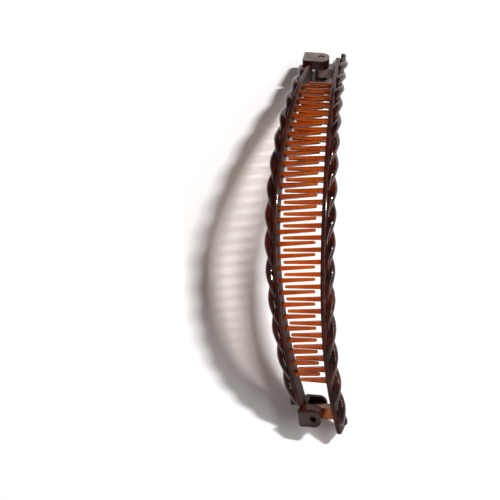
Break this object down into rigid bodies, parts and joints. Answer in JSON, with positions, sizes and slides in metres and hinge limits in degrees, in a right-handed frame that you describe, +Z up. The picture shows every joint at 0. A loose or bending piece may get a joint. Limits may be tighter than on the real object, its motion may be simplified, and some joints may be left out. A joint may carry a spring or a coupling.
{
  "type": "banana hair clip",
  "caption": "Arched hair clip: two combs with interlocking teeth and rope-twist borders, hinged in a forked block at one end and snapping shut in a block at the other.",
  "frame": {"origin": "centre of the bottom of the bounding box, on the surface that the clip stands on", "axes": "+X across the clip from the half with the blocks to the half that swings, +Y along the clip toward the hinge, +Z up"},
  "size_m": [0.029, 0.1644, 0.0435],
  "materials": {
    "tortoiseshell_dark": "polished, near-black warm brown that glows red-orange where it is thin",
    "tortoiseshell_red": "polished, dark brown with red-orange translucent tints",
    "amber": "polished, clear amber-orange"
  },
  "bodies": {
    "left_half": {"left_comb": "tortoiseshell_dark", "left_braid": "tortoiseshell_red", "hinge_block": "tortoiseshell_dark", "clasp_block": "tortoiseshell_dark"},
    "right_half": {"right_comb": "tortoiseshell_dark", "right_braid": "tortoiseshell_red", "hinge_tongue": "amber", "clasp_tongue": "amber"}
  },
  "joints": [
    {"name": "clip_hinge", "type": "hinge", "parent": "left_half", "child": "right_half", "pos_m": [0.002, 0.07671, 0.00916], "axis": [0.1222, 0.6486, 0.7512], "range_deg": [0, 70]}
  ]
}
